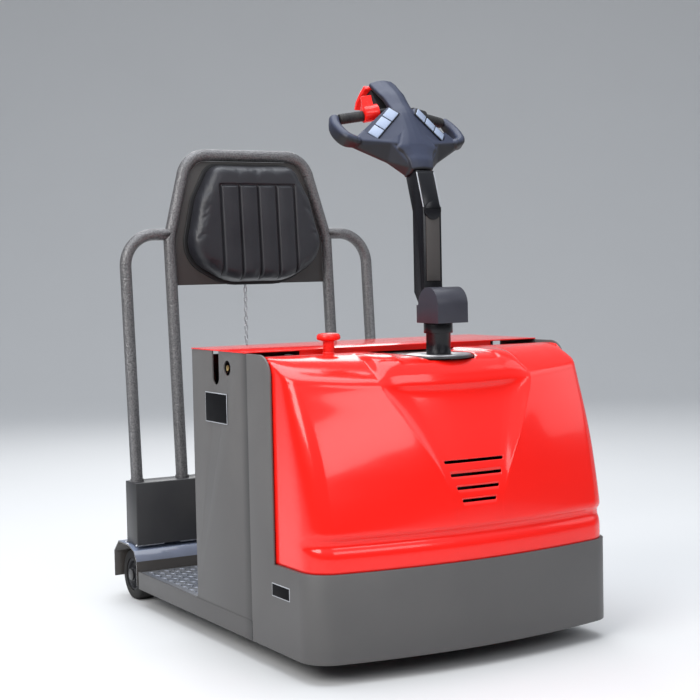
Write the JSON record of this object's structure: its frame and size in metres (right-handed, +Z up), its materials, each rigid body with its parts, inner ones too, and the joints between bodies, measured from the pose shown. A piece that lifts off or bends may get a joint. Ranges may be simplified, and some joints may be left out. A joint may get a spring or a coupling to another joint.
{
  "type": "stand-on baggage tow tractor",
  "caption": "Compact stand-on electric tow tractor for baggage carts: sculpted vented hood, steering tiller, low deck, padded backrest frame and rear tow jaw.",
  "frame": {"origin": "on the floor under the middle of the vehicle's length and width", "axes": "+Z up, -Y the way the vehicle drives, +X to the right seen from in front"},
  "size_m": [0.82, 1.2109, 1.3446],
  "materials": {
    "steel_paint": "satin",
    "chequer_plate": "satin",
    "dark_steel": "satin",
    "tube_paint": "hammered",
    "bright_steel": "brushed",
    "cast_case": "rough",
    "hood_gloss": "gloss",
    "lid_gloss": "gloss",
    "signal_plastic": "gloss",
    "gloss_black": "gloss",
    "dark_plastic": "matte",
    "tiller_plastic": "satin",
    "head_plastic": "satin",
    "button_silver": "satin",
    "grip_rubber": "matte",
    "pad_vinyl": "satin",
    "tyre_rubber": "matte",
    "wheel_centre": "satin"
  },
  "bodies": {
    "chassis": {"front_skirt": "steel_paint", "side_wall_left": "steel_paint", "side_wall_right": "steel_paint", "deck_plate": "chequer_plate", "bulkhead": "steel_paint", "floor_pan": "steel_paint", "drive_bridge": "dark_steel", "battery_block": "dark_plastic", "control_deck": "dark_steel", "stop_knob": "signal_plastic", "key_switch": "dark_plastic", "hood": "hood_gloss", "column_plate": "bright_steel", "rear_fender": "steel_paint", "pedestal": "steel_paint", "backrest_frame": "tube_paint", "armrest_left": "tube_paint", "armrest_right": "tube_paint", "back_plate": "steel_paint", "back_pad": "pad_vinyl", "tow_jaw": "dark_steel", "tow_pin": "bright_steel", "tow_chain": "bright_steel", "axle_left": "dark_steel", "axle_right": "dark_steel", "lid_hinge": "dark_steel"},
    "rear_wheel_left": {"rear_tyre_left": "tyre_rubber", "rear_hub_left": "wheel_centre"},
    "rear_wheel_right": {"rear_tyre_right": "tyre_rubber", "rear_hub_right": "wheel_centre"},
    "steering": {"steering_column": "gloss_black", "drive_case": "cast_case", "drive_motor": "cast_case", "tiller_cover": "tiller_plastic"},
    "drive_wheel": {"drive_tyre": "tyre_rubber", "drive_hub": "wheel_centre"},
    "tiller": {"tiller_arm": "gloss_black", "arm_cover": "dark_plastic", "head_shell": "head_plastic", "head_grips": "grip_rubber", "throttles": "signal_plastic", "belly_plate": "signal_plastic", "head_buttons": "button_silver"},
    "lid": {"battery_lid": "lid_gloss"}
  },
  "joints": [
    {"name": "rear_left_roll", "type": "hinge", "parent": "chassis", "child": "rear_wheel_left", "pos_m": [-0.361, 0.5085, 0.068], "axis": [-1, 0, 0], "continuous": true},
    {"name": "rear_right_roll", "type": "hinge", "parent": "chassis", "child": "rear_wheel_right", "pos_m": [0.361, 0.5085, 0.068], "axis": [-1, 0, 0], "continuous": true},
    {"name": "steer", "type": "hinge", "parent": "chassis", "child": "steering", "pos_m": [0, -0.4405, 0.4], "axis": [0, 0, 1], "range_deg": [-85, 85]},
    {"name": "drive_roll", "type": "hinge", "parent": "steering", "child": "drive_wheel", "pos_m": [0, -0.4405, 0.105], "axis": [-1, 0, 0], "continuous": true},
    {"name": "tiller_tilt", "type": "hinge", "parent": "steering", "child": "tiller", "pos_m": [0, -0.4275, 0.802], "axis": [-1, 0, 0], "range_deg": [0, 50]},
    {"name": "lid_swing", "type": "hinge", "parent": "chassis", "child": "lid", "pos_m": [0, 0.0405, 0.7], "axis": [-1, 0, 0], "range_deg": [0, 85]}
  ]
}
